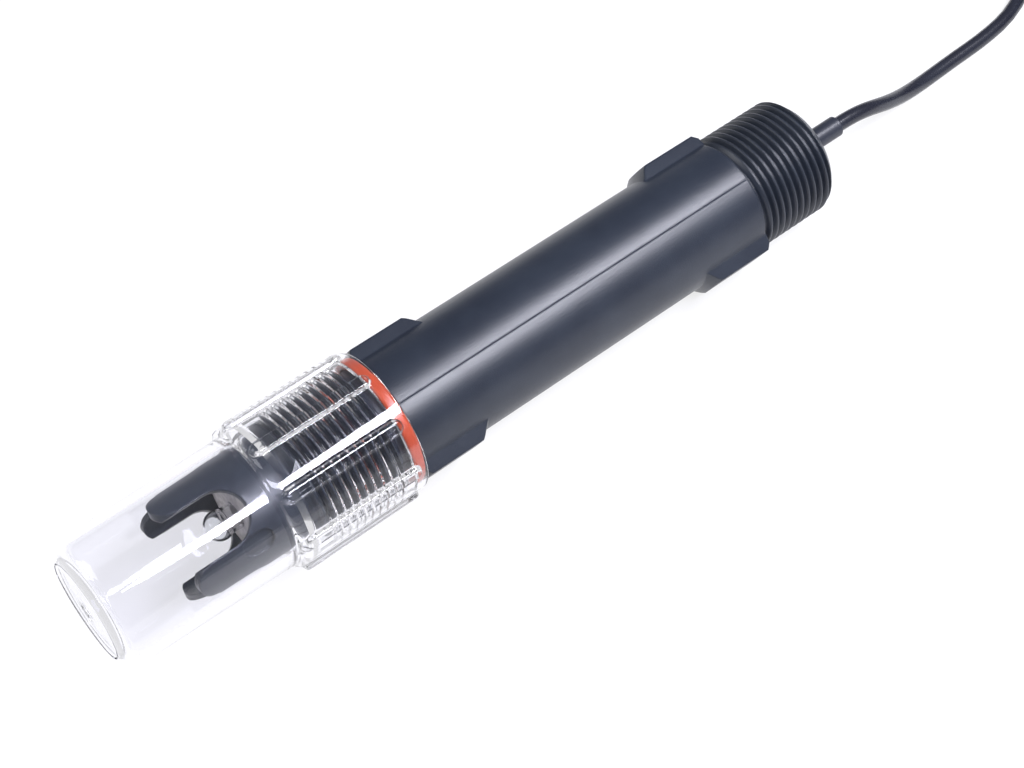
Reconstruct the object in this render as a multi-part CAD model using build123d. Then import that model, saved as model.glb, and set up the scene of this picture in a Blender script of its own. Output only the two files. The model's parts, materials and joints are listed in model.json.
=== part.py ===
from build123d import *
import os
from math import atan2, cos, pi, radians, sin, tan

# In-line pH electrode with a screw-on storage cap, lying on its cap ribs and its rear thread.
# Pieces are drawn on the X axis (x = 0 at the front shoulder, cap at -X, cable at +X),
# and lay_down() then puts them where the electrode comes to rest. All sizes are millimetres.

# Pipe thread at both ends, 3/4 inch size with 14 turns to the inch
thread_pitch = 1.814
thread_crest_radius = 13.22
thread_depth = 1.16
crest_flat = 0.34
thread_base = 1.56
thread_lead_in = 1.2

# Moulded housing
tube_radius = 12.95
body_length = 90.8
rear_thread_length = 20.5
front_thread_length = 20.0
ring_groove_length = 4.0
ring_groove_radius = 11.9
nose_radius = 11.5
nose_tip_radius = 11.2
guard_length = 49.5
guard_bore_radius = 9.5
main_bore_radius = 9.0
shoulder_edge = 0.35
rear_edge = 0.6
body_roll = 27.0

# Guard openings, measured round from the mould seam
main_slot_width = 10.6
side_slot_width = 8.4
slot_end_from_shoulder = 34.5
finger_angle = 48.0
finger_tip_radius = 3.4
window_angle = 38.0
window_length = 6.5
window_width = 4.1
window_depth = 0.8
window_from_shoulder = 35.9

# Wrench pads, one pair at each end of the tube
pads_across = 28.9
pad_width = 10.0
pad_corner_radius = 15.6
front_pad_length = 12.3
rear_pad_length = 12.8
pad_run_out = 5.2
pad_end_chamfer = 1.3
seam_width = 0.3
seam_depth = 0.12

# Storage cap
cap_length = 67.2
cap_rim_gap = 0.3
cap_end_radius = 13.8
cap_waist_radius = 14.2
cap_corner_radius = 3.6
cap_wall = 1.9
cap_cavity_radius = 12.1
cap_recess_radius = 9.6
cap_recess_depth = 0.5
cap_gate_radius = 1.0
collar_radius = 15.5
collar_length = 29.5
collar_flare = 1.3
cap_thread_clearance = 0.23
cap_thread_relief = 1.5
rib_count = 9
rib_top_radius = 16.5
rib_width = 3.1
rib_edge = 0.8
rib_front_gap = 0.8
rib_rear_gap = 1.7

# Sealing ring in the cap's mouth
ring_fit = 0.2
ring_length = 2.5
ring_outer_radius = 14.15
ring_seat_gap = 0.3
ring_edge = 0.7

# Glass electrode and what seals it in the bore
bulb_radius = 3.1
bulb_wall = 0.4
bulb_from_shoulder = 38.4
stem_radius = 2.75
stem_wall = 0.6
stem_rear = 36.0
junction_length = 4.0
junction_seal_length = 2.0
stem_cap_flange = 4.0
stem_cap_plug = 3.0
bung_front = 24.0
bung_length = 8.0
bung_groove_length = 2.0
bung_ring_radius = 0.8
bung_ring_fit = 0.02
wire_radius = 0.3
sensing_wire_rear = 48.0
reference_wire_radius = 0.4
reference_offset = 6.0
reference_wire_front = -20.0
reference_wire_rear = 50.0

# Leads and splices behind the bung
splice_radius = 1.1
splice_overlap = 4.0
signal_lead_radius = 0.6
reference_lead_radius = 0.5
lead_bend_start_gap = 23.0
lead_bend_end_gap = 5.0
lead_bend_radius = 8.0

# Potting, strain relief and cable
potting_depth = 16.3
potting_recess = 0.5
relief_depth = 11.3
relief_reach = 13.2
relief_radius = 2.35
relief_edge = 0.6
cable_radius = 1.7

# Route of the cable on the floor, from the strain relief to the hank
cable_straight_start = 4.0
cable_route = [
    (105.3, -0.2, 11.75),
    (112.3, 0.3, 8.35),
    (119.8, 1.7, 4.55),
    (128.3, 3.1, 2.0),
    (138.5, 3.7, 1.7),
    (150.0, 3.9, 1.7),
    (161.4, 5.5, 1.7),
    (175.5, 12.4, 1.7),
    (187.5, 16.5, 2.3),
    (197.5, 16.5, 2.55),
]

# Hank that holds the rest of the cable: two straight runs and a half circle at each end
hank_start = (194.0, -1.0)
hank_run = 33.4
hank_mean_radius = 14.08
hank_section_width = 10.25
hank_section_height = 27.4
hank_edge = 1.4

# Tie round one side of the hank
tie_thickness = 0.8
tie_width = 4.0
tie_fit = 0.05

# Bayonet coaxial plug at the far end
plug_axis_height = 7.25
plug_start = (282.0, 7.0)
plug_heading = 0.0
boot_length = 18.0
boot_tip_radius = 2.5
boot_radius = 3.6
ferrule_front = 6.0
ferrule_radius = 2.6
ferrule_bore = 1.0
plug_neck_radius = 4.6
plug_collar_radius = 5.6
plug_collar_length = 1.6
plug_shell_radius = 4.05
plug_shell_bore = 3.5
plug_shell_length = 12.0
plug_shell_slot = 0.5
plug_shell_slots = 4
insulator_radius = 2.3
insulator_reach = 4.0
pin_radius = 0.65
pin_length = 14.0
sleeve_radius = 7.2
sleeve_length = 15.0
sleeve_bore = 6.0
sleeve_flange = 2.0
sleeve_fit = 0.08
sleeve_end_play = 0.15
sleeve_grip_length = 6.0
sleeve_grip_depth = 0.35
sleeve_grips = 24
sleeve_slot_width = 2.2
sleeve_slot_length = 5.0
sleeve_slot_turn = 60.0
washer_thickness = 0.5
washer_outer_radius = 5.7
gasket_length = 1.5

# Route from the top of the hank to the plug
tail_route = [
    (226.0, 16.5, 26.49),
    (240.5, 16.2, 26.1),
    (253.5, 13.0, 20.0),
    (265.0, 9.6, 12.0),
    (276.5, 7.0, plug_axis_height),
]

# Sizes worked out from the ones above
thread_root_radius = thread_crest_radius - thread_depth
guard_tip_x = -guard_length
slot_end_x = -slot_end_from_shoulder
front_thread_end_x = -ring_groove_length
front_thread_start_x = front_thread_end_x - front_thread_length
rear_end_x = body_length + rear_thread_length
junction_rear_x = slot_end_x + junction_length
potting_front = rear_end_x - potting_depth
relief_front = rear_end_x - relief_depth
relief_rear = rear_end_x + relief_reach
lead_bend_front = potting_front - lead_bend_start_gap
lead_bend_rear = potting_front - lead_bend_end_gap
cap_rim_x = -cap_rim_gap
cap_end_x = cap_rim_x - cap_length
collar_front_x = cap_rim_x - collar_length
rib_rear_x = cap_rim_x - rib_rear_gap
cap_bore_radius = thread_crest_radius + cap_thread_clearance
ring_rear_x = -ring_fit
ring_front_x = ring_rear_x - ring_length
ring_pocket_radius = ring_outer_radius + ring_seat_gap
ring_pocket_x = ring_front_x - ring_seat_gap

# How the electrode comes to rest: the two lowest ribs in front, the last thread crest behind
rib_angle_from_down = 180.0 / rib_count
rib_drop = (
    (rib_top_radius - rib_edge) * cos(radians(rib_angle_from_down))
    + (rib_width / 2 - rib_edge) * sin(radians(rib_angle_from_down))
    + rib_edge
)
front_contact_x = rib_rear_x - rib_width / 2
rear_contact_x = rear_end_x - rear_edge - thread_lead_in - thread_pitch / 2
tilt = atan2(rib_drop - thread_crest_radius, rear_contact_x - front_contact_x)
axis_height = rear_contact_x * sin(tilt) + thread_crest_radius * cos(tilt)
middle_x = (cap_end_x + relief_rear) / 2


def lay_down(shape):
    """Turn a piece from the drawing axis to the way the electrode lies."""
    turned = Rot(0, tilt * 180 / pi, 0) * shape
    return Pos(-middle_x * cos(tilt), 0, axis_height) * turned


def laid_point(x, y, z):
    """The resting place of a point of the drawing axis."""
    across = x * cos(tilt) + z * sin(tilt) - middle_x * cos(tilt)
    return (across, y, z * cos(tilt) - x * sin(tilt) + axis_height)


def turned_profile(points):
    """A solid of revolution about the X axis from (x, radius) points."""
    outline = make_face(Plane.XZ * Polyline(*points, close=True))
    return revolve(outline, Axis.X, 360)


def rod(x_from, x_to, radius, y=0.0, z=0.0):
    """A round bar parallel to the X axis."""
    return Pos(x_from, y, z) * extrude(Plane.YZ * Circle(radius), x_to - x_from)


def ring(x_from, x_to, outer, inner):
    """A plain tube on the X axis."""
    return rod(x_from, x_to, outer) - rod(x_from, x_to, inner)


def radial_cutter(sketch, angle, reach):
    """A prism through the wall, drawn in the XY plane and turned about the X axis."""
    return Rot(angle, 0, 0) * extrude(sketch, reach)


def pipe_thread(x_from, length):
    """One ridge wound right-handed round the root, faded out at both ends."""
    path = Helix(
        pitch=thread_pitch,
        height=length + thread_pitch,
        radius=thread_root_radius,
        center=(x_from - thread_pitch / 2, 0, 0),
        direction=(1, 0, 0),
    )
    start = path @ 0
    outward = Vector(0, start.Y, start.Z).normalized()
    section_plane = Plane(origin=start, x_dir=outward, z_dir=path % 0)
    sunk = 0.25
    flank = (thread_base - crest_flat) / 2 / thread_depth
    foot = thread_base / 2 + sunk * flank
    section = section_plane * make_face(
        Polyline(
            (-sunk, -foot),
            (-sunk, foot),
            (thread_depth, crest_flat / 2),
            (thread_depth, -crest_flat / 2),
            close=True,
        )
    )
    ridge = sweep(section, path=path, is_frenet=True)
    inside = thread_root_radius - 1
    outside = thread_crest_radius + 0.1
    envelope = turned_profile(
        [
            (x_from, inside),
            (x_from, thread_root_radius),
            (x_from + thread_lead_in, outside),
            (x_from + length - thread_lead_in, outside),
            (x_from + length, thread_root_radius),
            (x_from + length, inside),
        ]
    )
    return ridge & envelope


def wrench_pads():
    """Two raised flats at each end of the tube, run out into it by a curved ramp."""
    half = pads_across / 2
    reach = (tube_radius**2 - (pad_width / 2) ** 2) ** 0.5
    flare = pad_width / 2 + (half - reach)
    block = make_face(
        Polyline(
            (reach * 0.6, -flare),
            (half, -pad_width / 2),
            (half, pad_width / 2),
            (reach * 0.6, flare),
            close=True,
        )
    )
    both = Plane.YZ * block + Rot(180, 0, 0) * (Plane.YZ * block)
    low = tube_radius - 1.5
    pads = []
    for start, length, sign in (
        (0.0, front_pad_length, 1),
        (body_length, rear_pad_length, -1),
    ):
        ramp = Plane.XZ * make_face(
            [
                Polyline(
                    (start + sign * (length + pad_run_out), tube_radius - 0.4),
                    (start + sign * (length + pad_run_out), low),
                    (start, low),
                    (start, pad_corner_radius - pad_end_chamfer),
                    (start + sign * pad_end_chamfer, pad_corner_radius),
                    (start + sign * length, pad_corner_radius),
                ),
                Spline(
                    (start + sign * length, pad_corner_radius),
                    (start + sign * (length + pad_run_out), tube_radius - 0.4),
                    tangents=[(sign, -0.15), (sign, -0.15)],
                ),
            ]
        )
        pads.append(extrude(both, 200, both=True) & revolve(ramp, Axis.X, 360))
    return pads


def slot_cutter(width, angle):
    """A round-ended slot open at the guard's tips."""
    length = guard_length - slot_end_from_shoulder - width / 2
    start = guard_tip_x - 1
    run = Pos(start + (length + 1) / 2, 0) * Rectangle(length + 1, width)
    end = Pos(start + 1 + length, 0) * Circle(width / 2)
    return radial_cutter(run + end, angle, tube_radius)


def tip_cutter(angle):
    """What rounds the tip of one guard finger."""
    side = finger_tip_radius + 1.0
    block = Pos(guard_tip_x - 1 + side / 2, 0) * Rectangle(side, 2 * side)
    dome = Pos(guard_tip_x + finger_tip_radius, 0) * Circle(finger_tip_radius)
    return radial_cutter(block - dome, angle, tube_radius)


def make_housing():
    outer = turned_profile(
        [
            (guard_tip_x, 0),
            (guard_tip_x, nose_tip_radius),
            (front_thread_start_x - 0.6, nose_radius),
            (front_thread_start_x, thread_root_radius),
            (front_thread_end_x, thread_root_radius),
            (front_thread_end_x, ring_groove_radius),
            (0, ring_groove_radius),
            (0, tube_radius - shoulder_edge),
            (shoulder_edge, tube_radius),
            (body_length - shoulder_edge, tube_radius),
            (body_length, tube_radius - shoulder_edge),
            (body_length, thread_root_radius),
            (rear_end_x - rear_edge, thread_root_radius),
            (rear_end_x, thread_root_radius - rear_edge),
            (rear_end_x, 0),
        ]
    )
    body = outer
    for pad in wrench_pads():
        body += pad
    body -= rod(guard_tip_x - 1, junction_rear_x, guard_bore_radius)
    body -= rod(junction_rear_x - 1, rear_end_x + 1, main_bore_radius)
    for angle in (0, 180):
        body -= slot_cutter(main_slot_width, angle)
        seam = Pos(body_length / 2, 0) * Rectangle(body_length + 1, seam_width)
        groove = radial_cutter(seam, angle, 2 * tube_radius)
        body -= groove - rod(-1, body_length + 1, tube_radius - seam_depth)
    for angle in (90, 270):
        body -= slot_cutter(side_slot_width, angle)
    for quarter in (0, 180):
        for side in (-finger_angle, finger_angle):
            body -= tip_cutter(quarter + side)
    window = Pos(-window_from_shoulder, 0) * SlotOverall(window_length, window_width)
    recess = radial_cutter(window, window_angle, tube_radius)
    body -= recess - rod(guard_tip_x, 0, nose_radius - window_depth)
    body += pipe_thread(front_thread_start_x, front_thread_length)
    body += pipe_thread(body_length + 0.3, rear_thread_length - 0.3 - rear_edge)
    return Rot(body_roll, 0, 0) * body


def cap_rib(index):
    """One grip rib with round ends and softened edges."""
    length = rib_rear_x - (collar_front_x + rib_front_gap)
    middle = (rib_rear_x + collar_front_x + rib_front_gap) / 2
    foot = cap_bore_radius + 0.5
    rib = extrude(SlotOverall(length, rib_width), rib_top_radius - foot)
    rib = chamfer(rib.faces().sort_by(Axis.Z)[-1].edges(), rib_edge)
    return Rot(index * 360 / rib_count, 0, 0) * Pos(middle, 0, foot) * rib


def make_storage_cap():
    corner = cap_corner_radius
    outline = make_face(
        [
            Line((cap_rim_x, 0), (cap_end_x, 0)),
            Line((cap_end_x, 0), (cap_end_x, cap_end_radius - corner)),
            TangentArc(
                (cap_end_x, cap_end_radius - corner),
                (cap_end_x + corner, cap_end_radius),
                tangent=(0, 1),
            ),
            Polyline(
                (cap_end_x + corner, cap_end_radius),
                (collar_front_x - 0.4, cap_waist_radius),
                (collar_front_x, cap_waist_radius + 0.3),
                (collar_front_x + collar_flare * 0.35, collar_radius - 0.4),
                (collar_front_x + collar_flare, collar_radius),
                (cap_rim_x - 0.3, collar_radius),
                (cap_rim_x, collar_radius - 0.3),
                (cap_rim_x, 0),
            ),
        ]
    )
    outer = Plane.XZ * outline
    cap = revolve(outer, Axis.X, 360)
    for index in range(rib_count):
        cap += cap_rib(index)
    cavity_end_x = cap_end_x + cap_wall
    cap_bore_x = front_thread_start_x - cap_thread_relief
    step = cap_bore_radius - cap_cavity_radius
    cap -= turned_profile(
        [
            (cavity_end_x, 0),
            (cavity_end_x, cap_cavity_radius - 2),
            (cavity_end_x + 0.6, cap_cavity_radius - 0.6),
            (cavity_end_x + 2, cap_cavity_radius),
            (cap_bore_x - step, cap_cavity_radius),
            (cap_bore_x, cap_bore_radius),
            (ring_pocket_x, cap_bore_radius),
            (ring_pocket_x, ring_pocket_radius),
            (cap_rim_x + 1, ring_pocket_radius),
            (cap_rim_x + 1, 0),
        ]
    )
    cap -= ring(
        cap_end_x - 1, cap_end_x + cap_recess_depth, cap_recess_radius, cap_gate_radius
    )
    return cap


def make_cap_seal_ring():
    inner = ring_groove_radius + ring_fit
    seal = ring(ring_front_x, ring_rear_x, ring_outer_radius, inner)
    return chamfer(seal.edges().filter_by(GeomType.CIRCLE), ring_edge)


def make_glass_electrode():
    bulb_x = -bulb_from_shoulder
    bulb = Pos(bulb_x, 0, 0) * Sphere(bulb_radius)
    outer = bulb + rod(bulb_x, stem_rear, stem_radius)
    inner_bulb = Pos(bulb_x, 0, 0) * Sphere(bulb_radius - bulb_wall)
    bore_radius = stem_radius - stem_wall
    return outer - inner_bulb - rod(bulb_x, stem_rear + 1, bore_radius)


def make_sensing_wire():
    return rod(-bulb_from_shoulder, sensing_wire_rear, wire_radius)


def make_stem_cap():
    plug = rod(stem_rear - stem_cap_plug, stem_rear, stem_radius - stem_wall)
    flange = rod(stem_rear, stem_rear + stem_cap_flange, stem_radius)
    hole = rod(stem_rear - 10, stem_rear + 10, wire_radius)
    return plug + flange - hole


def make_junction_disc():
    return ring(slot_end_x, junction_rear_x, guard_bore_radius, stem_radius)


def make_junction_seal():
    rear = junction_rear_x + junction_seal_length
    return ring(junction_rear_x, rear, main_bore_radius, stem_radius)


def make_divider_bung():
    rear = bung_front + bung_length
    middle = bung_front + bung_length / 2
    bung = ring(bung_front, rear, main_bore_radius, stem_radius)
    groove_floor = main_bore_radius - 2 * bung_ring_radius
    groove_half = bung_groove_length / 2
    bung -= ring(
        middle - groove_half, middle + groove_half, main_bore_radius + 1, groove_floor
    )
    return bung - rod(
        bung_front - 1, rear + 1, reference_wire_radius, z=reference_offset
    )


def make_bung_o_ring():
    centre = Pos(bung_front + bung_length / 2, main_bore_radius - bung_ring_radius)
    section = RegularPolygon(bung_ring_radius - bung_ring_fit, 8)
    return revolve(Plane.XZ * centre * section, Axis.X, 360)


def make_reference_wire():
    return rod(
        reference_wire_front,
        reference_wire_rear,
        reference_wire_radius,
        z=reference_offset,
    )


def make_splice(wire_rear, inner_front, inner_rear, z):
    """A crimp tube that joins a wire to its lead, each on its own bore."""
    front = wire_rear - splice_overlap
    rear = wire_rear + splice_overlap
    tube = rod(front, rear, splice_radius, z=z)
    tube -= rod(front, wire_rear, inner_front, z=z)
    return tube - rod(wire_rear, rear, inner_rear, z=z)


def make_signal_splice():
    return make_splice(sensing_wire_rear, wire_radius, signal_lead_radius, 0)


def make_reference_splice():
    return make_splice(
        reference_wire_rear,
        reference_wire_radius,
        reference_lead_radius,
        reference_offset,
    )


def make_signal_lead():
    return rod(sensing_wire_rear, potting_front, signal_lead_radius)


def make_reference_lead():
    near_axis = signal_lead_radius + reference_lead_radius + 0.05
    path = FilletPolyline(
        (reference_wire_rear, 0, reference_offset),
        (lead_bend_front, 0, reference_offset),
        (lead_bend_rear, 0, near_axis),
        (potting_front, 0, near_axis),
        radius=lead_bend_radius,
    )
    section = Plane(origin=path @ 0, z_dir=path % 0) * Circle(reference_lead_radius)
    return sweep(section, path=path)


def make_potting_plug():
    rear = rear_end_x - potting_recess
    plug = ring(potting_front, rear, main_bore_radius, cable_radius)
    return plug - rod(relief_front, rear + 1, relief_radius)


def make_strain_relief():
    sleeve = rod(relief_front, relief_rear, relief_radius)
    rim = sleeve.edges().filter_by(GeomType.CIRCLE).sort_by(Axis.X)[-1]
    sleeve = chamfer(rim, relief_edge)
    return sleeve - rod(relief_front - 1, relief_rear + 1, cable_radius)


def make_cable_lead_in():
    return rod(potting_front, relief_rear, cable_radius)


def bend_radii(points):
    """Radius at each corner of a route, as large as its two runs allow."""
    radii = []
    for before, corner, after in zip(points, points[1:], points[2:]):
        run_in = Vector(*corner) - Vector(*before)
        run_out = Vector(*after) - Vector(*corner)
        half_turn = radians(run_in.get_angle(run_out)) / 2
        shorter = min(run_in.length, run_out.length)
        radii.append(0.45 * shorter / tan(half_turn))
    return radii


def cord_tube(name, points):
    """A round cord along straight runs joined by tangent arcs."""
    radii = bend_radii(points)
    print(name, "bend radii", [round(radius, 1) for radius in radii])
    path = FilletPolyline(*points, radius=radii)
    section = Plane(origin=path @ 0, z_dir=path % 0) * Circle(cable_radius)
    tube = sweep(section, path=path)
    expected = pi * cable_radius**2 * path.length
    print(name, "length", round(path.length, 1), "volume ratio", tube.volume / expected)
    return tube


def hank_section(grown_by):
    """The cross-section of one side of the hank, grown evenly all round."""
    outline = Rectangle(
        hank_section_width + 2 * grown_by, hank_section_height + 2 * grown_by
    )
    return chamfer(outline.vertices(), hank_edge + grown_by * (2 - 2**0.5))


def make_cable():
    exit_point = laid_point(relief_rear, 0, 0)
    straight_end = laid_point(relief_rear + cable_straight_start, 0, 0)
    return cord_tube("cable", [exit_point, straight_end] + cable_route)


def make_cable_hank():
    across = 2 * hank_mean_radius
    outer = SlotCenterToCenter(hank_run, across + hank_section_width)
    inner = SlotCenterToCenter(hank_run, across - hank_section_width)
    bundle = extrude(outer - inner, hank_section_height)
    bundle = chamfer(bundle.faces().filter_by(Axis.Z).edges(), hank_edge)
    middle = hank_start[0] + hank_run / 2
    return Pos(middle, hank_start[1], tie_thickness + tie_fit) * bundle


def make_hank_tie():
    band = hank_section(tie_thickness + tie_fit) - hank_section(tie_fit)
    band = extrude(Plane.YZ * band, tie_width / 2, both=True)
    height = tie_thickness + tie_fit + hank_section_height / 2
    side = hank_start[1] - hank_mean_radius
    return Pos(hank_start[0] + hank_run / 2, side, height) * band


def place_plug(shape):
    """Put a plug piece, drawn along +X from the cable's side, at the end of the tail."""
    turned = Rot(0, 0, plug_heading) * shape
    return Pos(plug_start[0], plug_start[1], plug_axis_height) * turned


def make_cable_tail():
    seated_x = plug_start[0] + ferrule_front * cos(radians(plug_heading))
    seated_y = plug_start[1] + ferrule_front * sin(radians(plug_heading))
    seated = (seated_x, seated_y, plug_axis_height)
    return cord_tube("cable tail", tail_route + [seated])


boot_front = 0.0
flange_x = boot_length + 3.0
collar_x = flange_x + sleeve_flange + washer_thickness + 2 * sleeve_end_play
shell_end_x = collar_x + plug_collar_length + plug_shell_length


def make_plug_boot():
    boot = turned_profile(
        [
            (boot_front, cable_radius),
            (boot_front, boot_tip_radius - 0.3),
            (boot_front + 0.3, boot_tip_radius),
            (ferrule_front + 3, boot_radius),
            (boot_length, boot_radius),
            (boot_length, ferrule_radius),
            (ferrule_front, ferrule_radius),
            (ferrule_front, cable_radius),
        ]
    )
    for place in (1.2, 2.8, 4.4):
        boot -= ring(place, place + 0.8, boot_radius + 1, boot_tip_radius - 0.1)
    return place_plug(boot)


def make_plug_ferrule():
    return place_plug(ring(ferrule_front, boot_length, ferrule_radius, ferrule_bore))


def make_plug_body():
    rear = rod(boot_length, flange_x, plug_collar_radius)
    rear = chamfer(rear.edges().filter_by(GeomType.CIRCLE), 0.4)
    neck = rod(flange_x, collar_x, plug_neck_radius)
    collar_end = collar_x + plug_collar_length
    collar = rod(collar_x, collar_end, plug_collar_radius)
    shell = rod(collar_end, shell_end_x, plug_shell_radius)
    body = rear + neck + collar + shell
    body -= rod(collar_end, shell_end_x + 1, plug_shell_bore)
    body -= rod(boot_length - 1, collar_end + 1, insulator_radius)
    slit = Pos((collar_end + 3 + shell_end_x + 1) / 2, 0, 0) * Box(
        shell_end_x - collar_end - 2, plug_shell_slot, 4 * plug_shell_radius
    )
    for index in range(plug_shell_slots // 2):
        body -= Rot(index * 360 / plug_shell_slots, 0, 0) * slit
    return place_plug(body)


def make_plug_insulator():
    rear = collar_x + plug_collar_length + insulator_reach
    return place_plug(ring(boot_length, rear, insulator_radius, pin_radius))


def make_plug_pin():
    front = boot_length + 1
    pin = rod(front, front + pin_length, pin_radius)
    tip = pin.edges().filter_by(GeomType.CIRCLE).sort_by(Axis.X)[-1]
    return place_plug(fillet(tip, pin_radius * 0.6))


def make_wave_washer():
    front = collar_x - washer_thickness
    return place_plug(ring(front, collar_x, washer_outer_radius, plug_neck_radius))


def make_plug_gasket():
    collar_end = collar_x + plug_collar_length
    outer = plug_collar_radius - 0.2
    return place_plug(ring(collar_end, collar_end + gasket_length, outer, plug_shell_radius))


def make_bayonet_sleeve():
    front = flange_x + sleeve_end_play
    rear_flange = ring(
        front,
        front + sleeve_flange,
        sleeve_radius,
        plug_neck_radius + sleeve_fit,
    )
    barrel = ring(front + sleeve_flange, front + sleeve_length, sleeve_radius, sleeve_bore)
    sleeve = rear_flange + barrel
    for index in range(sleeve_grips):
        flute = Pos(front + sleeve_grip_length / 2, 0, sleeve_radius + 0.35)
        notch = Rot(0, 90, 0) * Cylinder(0.35 + sleeve_grip_depth, sleeve_grip_length)
        sleeve -= Rot(index * 360 / sleeve_grips, 0, 0) * flute * notch
    for side in (0, 180):
        sleeve -= Rot(side, 0, 0) * bayonet_slot(front + sleeve_length)
    return place_plug(sleeve)


def bayonet_slot(mouth_x):
    """A slot that starts straight and then slants round to its locking hole."""
    cutter = None
    steps = 6
    for step in range(steps + 1):
        share = step / steps
        hole = Cylinder(sleeve_slot_width / 2, 6)
        along = mouth_x - 1.5 - share * sleeve_slot_length
        at = Rot(share * sleeve_slot_turn, 0, 0) * Pos(along, 0, sleeve_radius) * hole
        cutter = at if cutter is None else cutter + at
    mouth = Pos(mouth_x, 0, sleeve_radius) * Box(3, sleeve_slot_width, 6)
    return cutter + mouth


lying_pieces = {
    "housing": make_housing,
    "storage_cap": make_storage_cap,
    "cap_seal_ring": make_cap_seal_ring,
    "glass_electrode": make_glass_electrode,
    "sensing_wire": make_sensing_wire,
    "stem_cap": make_stem_cap,
    "junction_disc": make_junction_disc,
    "junction_seal": make_junction_seal,
    "divider_bung": make_divider_bung,
    "bung_o_ring": make_bung_o_ring,
    "reference_wire": make_reference_wire,
    "signal_splice": make_signal_splice,
    "reference_splice": make_reference_splice,
    "signal_lead": make_signal_lead,
    "reference_lead": make_reference_lead,
    "potting_plug": make_potting_plug,
    "strain_relief": make_strain_relief,
    "cable_lead_in": make_cable_lead_in,
}
placed_pieces = {
    "cable": make_cable,
    "cable_hank": make_cable_hank,
    "hank_tie": make_hank_tie,
    "cable_tail": make_cable_tail,
    "plug_boot": make_plug_boot,
    "plug_ferrule": make_plug_ferrule,
    "plug_body": make_plug_body,
    "plug_insulator": make_plug_insulator,
    "plug_pin": make_plug_pin,
    "wave_washer": make_wave_washer,
    "plug_gasket": make_plug_gasket,
    "bayonet_sleeve": make_bayonet_sleeve,
}

os.makedirs("parts", exist_ok=True)
for name, make in lying_pieces.items():
    export_step(lay_down(make()), f"parts/{name}.step")
for name, make in placed_pieces.items():
    export_step(make(), f"parts/{name}.step")
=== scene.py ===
import json
from math import atan2, cos, hypot, pi, radians, sin, sqrt

import bmesh
import bpy
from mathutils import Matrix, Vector


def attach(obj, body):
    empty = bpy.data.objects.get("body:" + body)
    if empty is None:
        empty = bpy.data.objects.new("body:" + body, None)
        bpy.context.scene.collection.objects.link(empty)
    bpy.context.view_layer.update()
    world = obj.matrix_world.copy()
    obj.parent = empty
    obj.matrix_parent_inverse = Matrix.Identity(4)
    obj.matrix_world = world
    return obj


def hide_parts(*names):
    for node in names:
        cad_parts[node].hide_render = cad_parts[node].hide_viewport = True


# The dressed scene of an in-line pH electrode with a clear storage cap, in metres.

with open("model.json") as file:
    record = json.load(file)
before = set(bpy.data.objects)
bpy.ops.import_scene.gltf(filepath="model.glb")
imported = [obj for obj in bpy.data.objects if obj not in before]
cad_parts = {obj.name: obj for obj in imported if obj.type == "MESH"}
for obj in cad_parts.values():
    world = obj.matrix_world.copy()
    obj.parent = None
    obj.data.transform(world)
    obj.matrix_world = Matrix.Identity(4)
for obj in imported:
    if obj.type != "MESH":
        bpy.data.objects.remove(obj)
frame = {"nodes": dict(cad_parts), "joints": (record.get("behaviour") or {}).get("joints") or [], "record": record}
nodes = frame["nodes"]
joints = {joint["name"]: joint for joint in frame["joints"]}
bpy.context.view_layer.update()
mm = 0.001

# The electrode's axis, from the cap's joint: x = 0 at the front shoulder, z up at rest
shoulder = Vector(joints["cap_turn"]["pos_m"])
along = -Vector(joints["cap_turn"]["axis"])
sideways = Vector((0, 1, 0))
upward = along.cross(sideways)


def on_axis(x, y=0.0, z=0.0):
    """The place in the row frame of a point given along and across the axis, in millimetres."""
    return shoulder + (along * x + sideways * y + upward * z) * mm


def from_axis(point):
    """The other way: a row frame point as (x, y, z) in millimetres along and across the axis."""
    offset = (point - shoulder) / mm
    return offset.dot(along), offset.dot(sideways), offset.dot(upward)


# Materials


def new_material(name):
    """An empty node material with its output."""
    material = bpy.data.materials.new(name)
    material.use_nodes = True
    tree = material.node_tree
    tree.nodes.clear()
    output = tree.nodes.new("ShaderNodeOutputMaterial")
    return material, tree, output


def principled(tree, color, roughness, **settings):
    """A Principled shader with fixed values."""
    shader = tree.nodes.new("ShaderNodeBsdfPrincipled")
    shader.inputs["Base Color"].default_value = (*color, 1)
    shader.inputs["Roughness"].default_value = roughness
    for name, value in settings.items():
        shader.inputs[name.replace("_", " ")].default_value = value
    return shader


def noise(tree, scale, detail=3.0, roughness=0.6):
    """Noise in object coordinates, where one unit is a metre."""
    place = tree.nodes.new("ShaderNodeTexCoord")
    texture = tree.nodes.new("ShaderNodeTexNoise")
    texture.inputs["Scale"].default_value = scale
    texture.inputs["Detail"].default_value = detail
    texture.inputs["Roughness"].default_value = roughness
    tree.links.new(place.outputs["Object"], texture.inputs["Vector"])
    return texture


def spread(tree, texture, low, high, low_color, high_color):
    """A colour that follows a noise between two tones."""
    ramp = tree.nodes.new("ShaderNodeValToRGB")
    ramp.color_ramp.elements[0].position = low
    ramp.color_ramp.elements[0].color = (*low_color, 1)
    ramp.color_ramp.elements[1].position = high
    ramp.color_ramp.elements[1].color = (*high_color, 1)
    tree.links.new(texture.outputs["Fac"], ramp.inputs["Fac"])
    return ramp


def vary_roughness(tree, texture, shader, low, high):
    """Roughness that follows a noise."""
    span = tree.nodes.new("ShaderNodeMapRange")
    span.inputs["To Min"].default_value = low
    span.inputs["To Max"].default_value = high
    tree.links.new(texture.outputs["Fac"], span.inputs["Value"])
    tree.links.new(span.outputs["Result"], shader.inputs["Roughness"])


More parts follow.
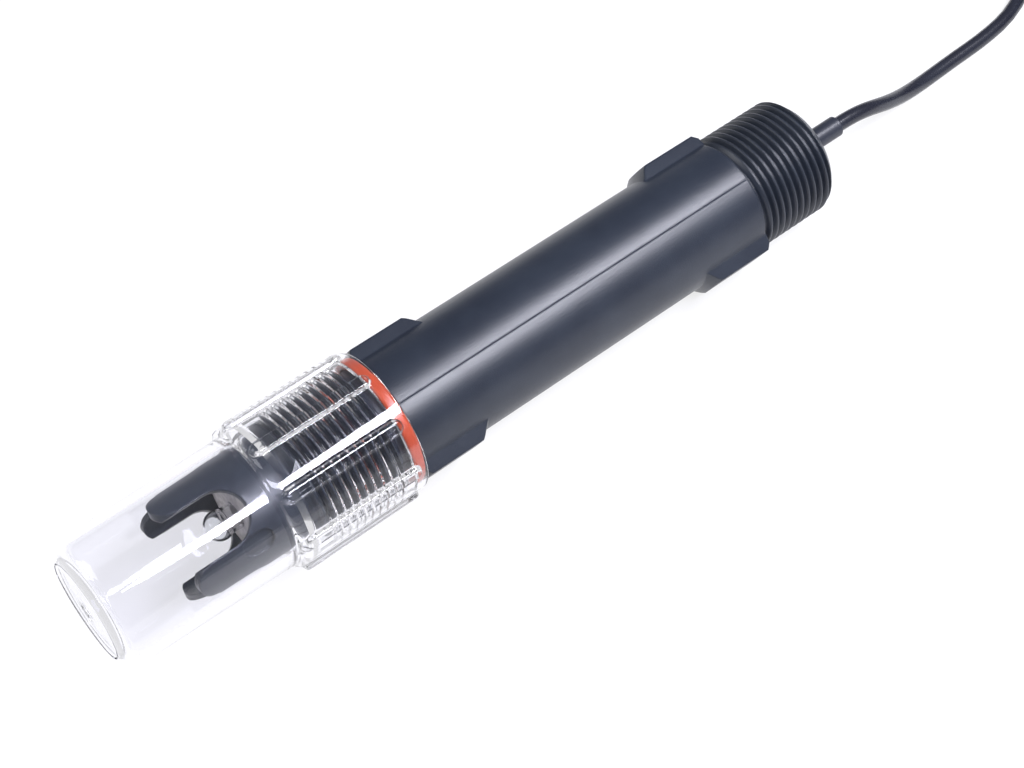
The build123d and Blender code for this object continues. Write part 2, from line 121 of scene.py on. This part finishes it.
def bump(tree, texture, shader, distance):
    """A height of so many metres from a noise."""
    relief = tree.nodes.new("ShaderNodeBump")
    relief.inputs["Distance"].default_value = distance
    tree.links.new(texture.outputs["Fac"], relief.inputs["Height"])
    tree.links.new(relief.outputs["Normal"], shader.inputs["Normal"])


def surface_material(
    name, dark, light, roughness, grain, grain_height, patch=90.0, **settings
):
    """Opaque surface with slow colour patches and a fine grain."""
    material, tree, output = new_material(name)
    shader = principled(tree, light, roughness, **settings)
    patches = noise(tree, patch, 2.0)
    tones = spread(tree, patches, 0.35, 0.65, dark, light)
    tree.links.new(tones.outputs["Color"], shader.inputs["Base Color"])
    grains = noise(tree, grain, 2.0)
    vary_roughness(tree, grains, shader, roughness - 0.05, roughness + 0.06)
    bump(tree, grains, shader, grain_height)
    tree.links.new(shader.outputs["BSDF"], output.inputs["Surface"])
    return material


wave_scale = 140.0
wave_height = 0.00002
passing_tint = (0.93, 0.93, 0.95)
deepest_bounce = 5.5


def clear_material(name, tint, ior, roughness):
    """Clear plastic or glass that lets shadow and diffuse rays straight through."""
    material, tree, output = new_material(name)
    shader = principled(tree, tint, roughness, IOR=ior, Transmission_Weight=1.0)
    waves = noise(tree, wave_scale, 1.0)
    bump(tree, waves, shader, wave_height)
    passing = tree.nodes.new("ShaderNodeBsdfTransparent")
    passing.inputs["Color"].default_value = (*passing_tint, 1)
    path = tree.nodes.new("ShaderNodeLightPath")
    either = tree.nodes.new("ShaderNodeMath")
    either.operation = "MAXIMUM"
    tree.links.new(path.outputs["Is Shadow Ray"], either.inputs[0])
    tree.links.new(path.outputs["Is Diffuse Ray"], either.inputs[1])
    deep = tree.nodes.new("ShaderNodeMath")
    deep.operation = "GREATER_THAN"
    deep.inputs[1].default_value = deepest_bounce
    tree.links.new(path.outputs["Ray Depth"], deep.inputs[0])
    straight = tree.nodes.new("ShaderNodeMath")
    straight.operation = "MAXIMUM"
    tree.links.new(either.outputs["Value"], straight.inputs[0])
    tree.links.new(deep.outputs["Value"], straight.inputs[1])
    mix = tree.nodes.new("ShaderNodeMixShader")
    tree.links.new(straight.outputs["Value"], mix.inputs["Fac"])
    tree.links.new(shader.outputs["BSDF"], mix.inputs[1])
    tree.links.new(passing.outputs["BSDF"], mix.inputs[2])
    tree.links.new(mix.outputs["Shader"], output.inputs["Surface"])
    return material


seam_roll = radians(27)
# Half width of the painted seam shade line, in metres.
painted_seam_shade_half = 0.00013
tube_middle = 0.0454
tube_half = 0.0448
edge_round = 0.0006


def multiplied(tree, first, second):
    """The product of two numbers."""
    node = tree.nodes.new("ShaderNodeMath")
    node.operation = "MULTIPLY"
    tree.links.new(first, node.inputs[0])
    tree.links.new(second, node.inputs[1])
    return node.outputs["Value"]


def within(tree, direction, offset, limit):
    """1 where a point lies nearer than a limit to a plane across a direction."""
    place = tree.nodes.new("ShaderNodeTexCoord")
    dot = tree.nodes.new("ShaderNodeVectorMath")
    dot.operation = "DOT_PRODUCT"
    dot.inputs[1].default_value = direction
    tree.links.new(place.outputs["Object"], dot.inputs[0])
    near = tree.nodes.new("ShaderNodeMath")
    near.operation = "COMPARE"
    near.inputs[1].default_value = direction.dot(shoulder) + offset
    near.inputs[2].default_value = limit
    tree.links.new(dot.outputs["Value"], near.inputs[0])
    return near.outputs["Value"]


def housing_material():
    """Satin moulded plastic with softened edges and a painted shade line along the seam groove."""
    material = surface_material(
        "housing", (0.012, 0.016, 0.025), (0.016, 0.021, 0.031), 0.34, 3800, 0.00004
    )
    tree = material.node_tree
    shader = next(n for n in tree.nodes if n.type == "BSDF_PRINCIPLED")
    relief = next(n for n in tree.nodes if n.type == "BUMP")
    soft_edge = tree.nodes.new("ShaderNodeBevel")
    soft_edge.samples = 6
    soft_edge.inputs["Radius"].default_value = edge_round
    tree.links.new(soft_edge.outputs["Normal"], relief.inputs["Normal"])
    across = sideways * cos(seam_roll) + upward * sin(seam_roll)
    line = within(tree, across, 0.0, painted_seam_shade_half)
    on_tube = within(tree, along, tube_middle, tube_half)
    # Painted shade: a dark, rough shader along the seam groove stands in for the groove's shadow.
    painted_seam_shade = principled(tree, (0.016, 0.019, 0.03), 0.7, Specular_IOR_Level=0.25)
    mix = tree.nodes.new("ShaderNodeMixShader")
    tree.links.new(multiplied(tree, line, on_tube), mix.inputs["Fac"])
    tree.links.new(shader.outputs["BSDF"], mix.inputs[1])
    tree.links.new(painted_seam_shade.outputs["BSDF"], mix.inputs[2])
    output = next(n for n in tree.nodes if n.type == "OUTPUT_MATERIAL")
    tree.links.new(mix.outputs["Shader"], output.inputs["Surface"])
    return material


materials = {
    "housing": housing_material(),
    "seal_ring": surface_material(
        "seal_ring", (0.36, 0.042, 0.01), (0.43, 0.056, 0.014), 0.32, 900, 0.00001
    ),
    "silver_wire": surface_material(
        "silver_wire", (0.55, 0.55, 0.56), (0.7, 0.7, 0.7), 0.3, 3000, 0.000004, Metallic=1.0
    ),
    "white_plastic": surface_material(
        "white_plastic", (0.75, 0.75, 0.72), (0.82, 0.82, 0.8), 0.4, 1800, 0.000008
    ),
    "porous_disc": surface_material(
        "porous_disc", (0.42, 0.40, 0.36), (0.62, 0.59, 0.54), 0.75, 2200, 0.00008, patch=900.0
    ),
    "black_rubber": surface_material(
        "black_rubber", (0.006, 0.006, 0.007), (0.012, 0.012, 0.013), 0.5, 1500, 0.00001
    ),
    "plated_metal": surface_material(
        "plated_metal", (0.55, 0.54, 0.52), (0.66, 0.65, 0.63), 0.22, 2600, 0.000004, Metallic=1.0
    ),
    "signal_insulation": surface_material(
        "signal_insulation", (0.6, 0.6, 0.57), (0.72, 0.72, 0.7), 0.35, 1500, 0.000005
    ),
    "reference_insulation": surface_material(
        "reference_insulation", (0.01, 0.01, 0.012), (0.02, 0.02, 0.022), 0.35, 1500, 0.000005
    ),
    "potting": surface_material(
        "potting", (0.008, 0.009, 0.012), (0.016, 0.018, 0.024), 0.3, 500, 0.00003
    ),
    "dark_plastic": surface_material(
        "dark_plastic", (0.013, 0.016, 0.024), (0.018, 0.021, 0.03), 0.36, 1800, 0.00001
    ),
    "cable_jacket": surface_material(
        "cable_jacket", (0.010, 0.011, 0.017), (0.014, 0.016, 0.023), 0.27, 900, 0.000012
    ),
    "tie_band": surface_material(
        "tie_band", (0.008, 0.008, 0.01), (0.016, 0.016, 0.018), 0.6, 1600, 0.00003
    ),
    "boot_rubber": surface_material(
        "boot_rubber", (0.008, 0.008, 0.01), (0.015, 0.015, 0.017), 0.45, 1500, 0.00001
    ),
    "gold_pin": surface_material(
        "gold_pin", (0.7, 0.45, 0.14), (0.8, 0.55, 0.2), 0.2, 2600, 0.000003, Metallic=1.0
    ),
    "spring_steel": surface_material(
        "spring_steel", (0.4, 0.4, 0.4), (0.5, 0.5, 0.5), 0.3, 2600, 0.000003, Metallic=1.0
    ),
    "clear_cap": clear_material("clear_cap", (0.955, 0.955, 0.98), 1.49, 0.015),
    "glass": clear_material("glass", (0.97, 0.98, 0.985), 1.5, 0.0),
}


def dress(obj, slot_name):
    """Give a piece its material and its slot."""
    obj.data.materials.clear()
    obj.data.materials.append(materials[slot_name])


# CAD pieces that are shown as they are

slot_of = {part["node"]: part["material_slot"] for part in frame["record"]["subparts"]}
smooth_angle = radians(32)


def smooth_by_angle(mesh, angle):
    """Smooth shading with sharp edges above an angle."""
    shape = bmesh.new()
    shape.from_mesh(mesh)
    for edge in shape.edges:
        faces = edge.link_faces
        edge.smooth = len(faces) == 2 and faces[0].normal.angle(faces[1].normal, 0) < angle
    for face in shape.faces:
        face.smooth = True
    shape.to_mesh(mesh)
    shape.free()


for node_name, node in nodes.items():
    dress(node, slot_of[node_name])


def new_piece(name, vertices, faces, slot_name, body):
    """A mesh piece from points in the row frame."""
    mesh = bpy.data.meshes.new(name)
    mesh.from_pydata(vertices, [], faces)
    mesh.validate()
    smooth_by_angle(mesh, smooth_angle)
    piece = bpy.data.objects.new(name, mesh)
    bpy.context.scene.collection.objects.link(piece)
    dress(piece, slot_name)
    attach(piece, body)
    return piece


def revolved(name, profile, columns, slot_name, body, closed=False):
    """A piece turned about the axis from (x, radius) points; radius 0 makes a pole."""
    vertices = []
    rows = []
    for x, radius in profile:
        if radius <= 0:
            rows.append([len(vertices)])
            vertices.append(on_axis(x))
            continue
        rows.append(list(range(len(vertices), len(vertices) + columns)))
        for column in range(columns):
            angle = 2 * pi * column / columns
            vertices.append(on_axis(x, radius * cos(angle), radius * sin(angle)))
    return new_piece(name, vertices, grid_faces(rows, closed), slot_name, body)


def grid_faces(rows, closed=False):
    """Faces between neighbouring rings; a ring of one point is a pole."""
    faces = []
    pairs = list(zip(rows, rows[1:]))
    if closed:
        pairs.append((rows[-1], rows[0]))
    for first, second in pairs:
        count = max(len(first), len(second))
        for index in range(count):
            after = (index + 1) % count
            if len(first) == 1:
                faces.append((first[0], second[after], second[index]))
            elif len(second) == 1:
                faces.append((first[index], first[after], second[0]))
            else:
                faces.append((first[index], first[after], second[after], second[index]))
    return faces


def arc(centre_x, centre_r, radius, start, end, steps):
    """Points of an arc in the (x, radius) plane, angles in degrees."""
    points = []
    for step in range(steps + 1):
        angle = radians(start + (end - start) * step / steps)
        points.append((centre_x + radius * cos(angle), centre_r + radius * sin(angle)))
    return points


# Storage cap: sizes in millimetres along and across the axis

cap_end = -67.5
cap_rim = -0.3
cap_corner = 3.6
cap_end_radius = 13.8
cap_waist_radius = 14.2
cap_cavity_end = cap_end + 1.9
cap_cavity_radius = 12.1
cap_bore_radius = 13.45
cap_bore_start = -25.5
recess_radius = 9.6
recess_depth = 0.12
gate_radius = 1.0
collar_front = -29.8
collar_radius = 15.5
rib_count = 9
rib_top = 16.5
rib_width = 3.1
rib_edge = 0.8
rib_foot = 0.4
rib_front = -29.0
rib_rear = -2.0
pocket_start = -3.0
pocket_radius = 14.45
thread_pitch = 1.814
cap_thread_start = -22.6
cap_thread_end = -4.4
cap_thread_height = 0.3
cap_thread_crest = 0.34
cap_thread_base = 1.5
cap_thread_lead_in = 1.2


housing_crest_radius = 13.22


def housing_thread_phase():
    """Where along the axis the housing's front ridge crosses angle 0, as a share of the pitch."""
    total = Vector((0, 0))
    for vertex in nodes["housing"].data.vertices:
        x, y, z = from_axis(vertex.co)
        if -21 < x < -6 and hypot(y, z) > housing_crest_radius - 0.03:
            turn = 2 * pi * (x / thread_pitch - atan2(z, y) / (2 * pi))
            total += Vector((cos(turn), sin(turn)))
    return atan2(total.y, total.x) / (2 * pi)


ridge_phase = housing_thread_phase()


def rib_columns():
    """Angles round the cap, closer together at the ribs' edges."""
    near = [0, 1.6, 2.9, 3.8, 4.4, 4.9, 5.3, 5.7, 6.3, 7.6, 10.5, 15]
    one = sorted([-a for a in near[1:]] + near + [20])
    angles = []
    for index in range(rib_count):
        centre = 90 + index * 360 / rib_count
        angles += [radians(centre + offset) for offset in one]
    return angles


def rib_radius(x, angle, base):
    """The collar's outer radius with its ribs."""
    period = 2 * pi / rib_count
    offset = (angle - pi / 2 + period / 2) % period - period / 2
    half = rib_width / 2
    beyond = max(rib_front + half - x, x - (rib_rear - half), 0)
    distance = hypot(beyond, rib_top * offset)
    if distance <= half - rib_edge:
        return max(base, rib_top)
    if distance <= half:
        into = distance - (half - rib_edge)
        return max(base, rib_top - rib_edge + sqrt(rib_edge**2 - into**2))
    if distance < half + rib_foot:
        share = (distance - half) / rib_foot
        level = rib_top - rib_edge
        return max(base, base + (level - base) * (1 - share) ** 2)
    return base


def cap_thread_radius(x, angle):
    """The cap's bore with its own thread, which runs in the housing's groove."""
    turn = x / thread_pitch - angle / (2 * pi) - ridge_phase + 0.5
    offset = abs((turn + 0.5) % 1 - 0.5) * thread_pitch
    half_base = cap_thread_base / 2
    half_crest = cap_thread_crest / 2
    height = min(max((half_base - offset) / (half_base - half_crest), 0), 1)
    lead_in = min(x - cap_thread_start, cap_thread_end - x)
    fade = min(lead_in / cap_thread_lead_in, 1)
    return cap_bore_radius - cap_thread_height * height * max(fade, 0)


def make_cap():
    """The clear cap, outside and inside, as one closed skin."""
    outside = [(cap_end + 0.15, 0), (cap_end + 0.15, gate_radius * 0.6)]
    outside += [(cap_end + 0.2, gate_radius), (cap_end + recess_depth, gate_radius + 0.15)]
    outside += [(cap_end + recess_depth, 3), (cap_end + recess_depth, 6)]
    outside += [(cap_end + recess_depth, recess_radius - 1.2)]
    outside += [(cap_end + recess_depth * 0.85, recess_radius - 0.6)]
    outside += [(cap_end + recess_depth * 0.5, recess_radius - 0.1)]
    outside += [(cap_end + recess_depth * 0.15, recess_radius + 0.3)]
    outside += [(cap_end, recess_radius + 0.6)]
    corner_centre = cap_end_radius - cap_corner
    outside += arc(cap_end + cap_corner, corner_centre, cap_corner, 180, 92, 14)
    for share in (0.05, 0.2, 0.4, 0.6, 0.8, 0.96):
        x = cap_end + cap_corner + (collar_front - 0.4 - cap_end - cap_corner) * share
        outside.append((x, cap_end_radius + (cap_waist_radius - cap_end_radius) * share))
    outside += [(collar_front - 0.4, cap_waist_radius + 0.02)]
    outside += [(collar_front - 0.2, cap_waist_radius + 0.08)]
    outside += [(collar_front, cap_waist_radius + 0.3)]
    collar = [(collar_front + 0.15, 14.85), (collar_front + 0.4, 15.1)]
    collar += [(collar_front + 0.75, 15.3), (collar_front + 1.1, 15.43)]
    collar += [(collar_front + 1.35, collar_radius)]
    ends = [0.15, 0.3, 0.45, 0.6, 0.8, 1.0, 1.25, 1.55]
    collar += [(rib_front + 0.65 + step, collar_radius) for step in ends]
    collar += [(rib_front + 2.4 + 2.42 * step, collar_radius) for step in range(1, 10)]
    collar += [(rib_rear - step, collar_radius) for step in reversed(ends)]
    collar += [(rib_rear + step, collar_radius) for step in (0.0, 0.2, 0.4, 0.8, 1.2)]
    rim = [(cap_rim - 0.3, collar_radius), (cap_rim - 0.1, collar_radius - 0.08)]
    rim += [(cap_rim, collar_radius - 0.3), (cap_rim, pocket_radius + 0.25)]
    rim += [(cap_rim - 0.15, pocket_radius), (-1.5, pocket_radius)]
    rim += [(pocket_start + 0.15, pocket_radius), (pocket_start, pocket_radius - 0.15)]
    rim += [(pocket_start, cap_bore_radius + 0.2), (pocket_start - 0.2, cap_bore_radius)]
    thread_steps = 130
    bore = []
    for step in range(thread_steps + 1):
        share = step / thread_steps
        bore.append((cap_thread_end + (cap_thread_start - cap_thread_end) * share, 0))
    inside = [(cap_bore_start + 0.4, cap_bore_radius), (cap_bore_start, cap_bore_radius)]
    inside += [(cap_bore_start - 1.35, cap_cavity_radius)]
    inside += [(-32.0, cap_cavity_radius), (-40.0, cap_cavity_radius)]
    inside += [(-50.0, cap_cavity_radius), (-58.0, cap_cavity_radius)]
    inside += arc(cap_cavity_end + 2, cap_cavity_radius - 2, 2, 90, 180, 9)
    inside += [(cap_cavity_end, 6), (cap_cavity_end, 3), (cap_cavity_end, 0)]

    angles = rib_columns()
    vertices = []
    rows = []

    def add_row(x, radius_at):
        rows.append(list(range(len(vertices), len(vertices) + len(angles))))
        for angle in angles:
            radius = radius_at(angle)
            vertices.append(on_axis(x, radius * cos(angle), radius * sin(angle)))

    def add_pole(x):
        rows.append([len(vertices)])
        vertices.append(on_axis(x))

    for x, radius in outside:
        if radius == 0:
            add_pole(x)
        else:
            add_row(x, lambda angle, r=radius: r)
    for x, radius in collar:
        add_row(x, lambda angle, x=x, r=radius: rib_radius(x, angle, r))
    for x, radius in rim:
        add_row(x, lambda angle, r=radius: r)
    for x, radius in bore:
        add_row(x, lambda angle, x=x: cap_thread_radius(x, angle))
    for x, radius in inside:
        if radius == 0:
            add_pole(x)
        else:
            add_row(x, lambda angle, r=radius: r)
    return new_piece("storage_cap_clear", vertices, grid_faces(rows), "clear_cap", "cap")


cap = make_cap()
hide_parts("storage_cap")


# Seal ring with rounded edges

ring_front = -2.7
ring_rear = -0.2
ring_inner = 12.1
ring_outer = 14.15
ring_round = 0.7


def make_ring():
    """The flat rubber ring, as a rounded section turned about the axis."""
    profile = arc(ring_rear - ring_round, ring_outer - ring_round, ring_round, 0, 90, 6)
    profile += arc(ring_front + ring_round, ring_outer - ring_round, ring_round, 90, 180, 6)
    profile += arc(ring_front + ring_round, ring_inner + ring_round, ring_round, 180, 270, 6)
    profile += arc(ring_rear - ring_round, ring_inner + ring_round, ring_round, 270, 360, 6)
    return revolved("cap_seal_ring_rubber", profile, 128, "seal_ring", "seal", closed=True)


ring = make_ring()
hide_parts("cap_seal_ring")


# Cable: one cord of 3 m from the strain relief through a tied hank to the plug

cable_radius = 1.7
exit_point = on_axis(124.5)
straight_end = on_axis(128.5)
cable_route = [
    (105.3, -0.2, 11.75),
    (112.3, 0.3, 8.35),
    (119.8, 1.7, 4.55),
    (128.3, 3.1, 2.0),
    (138.5, 3.7, 1.7),
    (150.0, 3.9, 1.7),
    (161.4, 5.5, 1.7),
    (175.5, 12.4, 1.7),
    (187.5, 16.5, 2.3),
]
tail_route = [
    (226.0, 16.5, 26.49),
    (240.5, 16.2, 26.1),
    (253.5, 13.0, 20.0),
    (265.0, 9.6, 12.0),
    (276.5, 7.0, 7.25),
    (288.0, 7.0, 7.25),
]
hank_start = (194.0, -1.0)
hank_run = 33.7
hank_outer = 17.5
hank_first_row = 2.55
hank_pitch = 3.42
hank_rows = 8
turns_in_a_row = 2
turns_between_rows = 0.287
end_points = 8


def hank_height_and_radius(turn):
    """Height and end radius after so many turns: rows wound inwards and outwards in turn."""
    row_span = turns_in_a_row + turns_between_rows
    row = min(int(turn / row_span), hank_rows - 1)
    within = turn - row * row_span
    inward = min(within / turns_in_a_row, 1)
    if row % 2 == 1:
        inward = 1 - inward
    rise = max(within - turns_in_a_row, 0) / turns_between_rows
    radius = hank_outer - turns_in_a_row * hank_pitch * inward
    return hank_first_row + hank_pitch * (row + rise), radius


def hank_points():
    """Flat loops: a straight run, a half circle, the run back and the other half circle."""
    total = hank_rows * turns_in_a_row + (hank_rows - 1) * turns_between_rows
    points = []
    stations = 2 * end_points + 2
    step = 180 / end_points
    for index in range(int(total * stations) + 1):
        height, radius = hank_height_and_radius(index / stations)
        place = index % stations
        if place in (0, end_points + 1):
            side = 1 if place == 0 else -1
            x = hank_start[0] + hank_run / 2
            y = hank_start[1] + side * radius
        else:
            far = place <= end_points
            end_x = hank_start[0] + (hank_run if far else 0)
            count = place - 1 if far else place - end_points - 2
            angle = radians(90 - (count + 0.5) * step - (0 if far else 180))
            reach = radius / cos(radians(step / 2))
            x = end_x + reach * cos(angle)
            y = hank_start[1] + reach * sin(angle)
        points.append((x, y, height))
    return points


def make_cable():
    """The cable's centreline with its round section."""
    points = [Vector(p) * mm for p in cable_route + hank_points() + tail_route]
    points = [exit_point, straight_end] + points
    curve = bpy.data.curves.new("cable_cord", "CURVE")
    curve.dimensions = "3D"
    spline = curve.splines.new("NURBS")
    spline.points.add(len(points) - 1)
    for target, point in zip(spline.points, points):
        target.co = (*point, 1)
    spline.order_u = 3
    spline.use_endpoint_u = True
    spline.resolution_u = 3
    curve.bevel_depth = cable_radius * mm
    curve.bevel_resolution = 4
    curve.use_fill_caps = True
    cord = bpy.data.objects.new("cable_cord", curve)
    bpy.context.scene.collection.objects.link(cord)
    dress(cord, "cable_jacket")
    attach(cord, "electrode")
    return cord


cord = make_cable()
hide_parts("cable", "cable_hank", "cable_tail")


# Studio: white floor, soft lamps and the camera at the photograph's place

floor_half = 6.0
floor_color = (0.84, 0.84, 0.88)
floor_glow_share = 0.8


def make_floor():
    """A wide pale floor that reads white to the camera and keeps a soft shadow."""
    half = floor_half
    corners = [(-half, -half, 0), (half, -half, 0), (half, half, 0), (-half, half, 0)]
    mesh = bpy.data.meshes.new("floor")
    mesh.from_pydata(corners, [], [(0, 1, 2, 3)])
    floor = bpy.data.objects.new("floor", mesh)
    bpy.context.scene.collection.objects.link(floor)
    material, tree, output = new_material("floor")
    lit = tree.nodes.new("ShaderNodeBsdfDiffuse")
    lit.inputs["Color"].default_value = (*floor_color, 1)
    glow = tree.nodes.new("ShaderNodeEmission")
    glow.inputs["Color"].default_value = (1, 1, 1, 1)
    glow.inputs["Strength"].default_value = 1.0
    mix = tree.nodes.new("ShaderNodeMixShader")
    tree.links.new(seen_directly(tree, floor_glow_share).outputs["Value"], mix.inputs["Fac"])
    tree.links.new(lit.outputs["BSDF"], mix.inputs[1])
    tree.links.new(glow.outputs["Emission"], mix.inputs[2])
    tree.links.new(mix.outputs["Shader"], output.inputs["Surface"])
    mesh.materials.append(material)


def seen_directly(tree, share):
    """A share for camera, glossy and transmission rays, and 0 for the others."""
    path = tree.nodes.new("ShaderNodeLightPath")
    first = tree.nodes.new("ShaderNodeMath")
    first.operation = "MAXIMUM"
    tree.links.new(path.outputs["Is Camera Ray"], first.inputs[0])
    tree.links.new(path.outputs["Is Glossy Ray"], first.inputs[1])
    second = tree.nodes.new("ShaderNodeMath")
    second.operation = "MAXIMUM"
    tree.links.new(first.outputs["Value"], second.inputs[0])
    tree.links.new(path.outputs["Is Transmission Ray"], second.inputs[1])
    scaled = tree.nodes.new("ShaderNodeMath")
    scaled.operation = "MULTIPLY"
    scaled.inputs[1].default_value = share
    tree.links.new(second.outputs["Value"], scaled.inputs[0])
    return scaled


sky_color = (0.88, 0.88, 1.0)
sky_strength = 0.35
mirrored_sky_strength = 0.16
sky_after_mirror = 0.25


def make_world():
    """Even pale surroundings, white to the camera."""
    world = bpy.data.worlds.new("studio")
    bpy.context.scene.world = world
    world.use_nodes = True
    tree = world.node_tree
    tree.nodes.clear()
    output = tree.nodes.new("ShaderNodeOutputWorld")
    soft = tree.nodes.new("ShaderNodeBackground")
    soft.inputs["Color"].default_value = (*sky_color, 1)
    soft.inputs["Strength"].default_value = sky_strength
    white = tree.nodes.new("ShaderNodeBackground")
    white.inputs["Color"].default_value = (1, 1, 1, 1)
    white.inputs["Strength"].default_value = 1.0
    path = tree.nodes.new("ShaderNodeLightPath")
    either = tree.nodes.new("ShaderNodeMath")
    either.operation = "MAXIMUM"
    tree.links.new(path.outputs["Is Camera Ray"], either.inputs[0])
    tree.links.new(path.outputs["Is Transmission Ray"], either.inputs[1])
    dim = tree.nodes.new("ShaderNodeBackground")
    dim.inputs["Color"].default_value = (*sky_color, 1)
    dim.inputs["Strength"].default_value = mirrored_sky_strength
    mirrored = tree.nodes.new("ShaderNodeMixShader")
    tree.links.new(path.outputs["Is Glossy Ray"], mirrored.inputs["Fac"])
    tree.links.new(soft.outputs["Background"], mirrored.inputs[1])
    tree.links.new(dim.outputs["Background"], mirrored.inputs[2])
    loss = tree.nodes.new("ShaderNodeMapRange")
    loss.inputs["To Min"].default_value = 1.0
    loss.inputs["To Max"].default_value = sky_after_mirror
    tree.links.new(path.outputs["Glossy Depth"], loss.inputs["Value"])
    share = tree.nodes.new("ShaderNodeMath")
    share.operation = "MULTIPLY"
    tree.links.new(either.outputs["Value"], share.inputs[0])
    tree.links.new(loss.outputs["Result"], share.inputs[1])
    mix = tree.nodes.new("ShaderNodeMixShader")
    tree.links.new(share.outputs["Value"], mix.inputs["Fac"])
    tree.links.new(mirrored.outputs["Shader"], mix.inputs[1])
    tree.links.new(white.outputs["Background"], mix.inputs[2])
    tree.links.new(mix.outputs["Shader"], output.inputs["Surface"])


def add_lamp(name, place, aim, size, energy, color):
    """A rectangular softbox that faces a point."""
    lamp = bpy.data.lights.new(name, "AREA")
    lamp.shape = "RECTANGLE"
    lamp.size = size[0]
    lamp.size_y = size[1]
    lamp.energy = energy
    lamp.color = color
    obj = bpy.data.objects.new(name, lamp)
    bpy.context.scene.collection.objects.link(obj)
    obj.location = place
    facing = Vector(place) - Vector(aim)
    obj.rotation_euler = facing.to_track_quat("Z", "X").to_euler()


make_floor()
make_world()
key_color = (0.9, 0.9, 1.0)
fill_color = (1.0, 1.0, 1.0)
lamp_aim = (0.0, 0.0, 0.0)
add_lamp("key", (0.22, -0.26, 0.55), lamp_aim, (0.13, 0.5), 9.0, key_color)
add_lamp("fill", (-0.5, 0.35, 0.6), lamp_aim, (0.5, 0.5), 3.0, fill_color)

camera_data = bpy.data.cameras.new("camera")
camera_data.sensor_width = 36.0
camera_data.lens = 67.85
camera_data.clip_start = 0.01
camera_data.clip_end = 50.0
camera = bpy.data.objects.new("camera", camera_data)
bpy.context.scene.collection.objects.link(camera)
camera.location = (-0.13626, -0.18236, 0.32918)
camera.rotation_euler = (radians(34.779), radians(1.049), radians(-39.043))
bpy.context.scene.camera = camera
bpy.context.scene.view_settings.view_transform = "Standard"
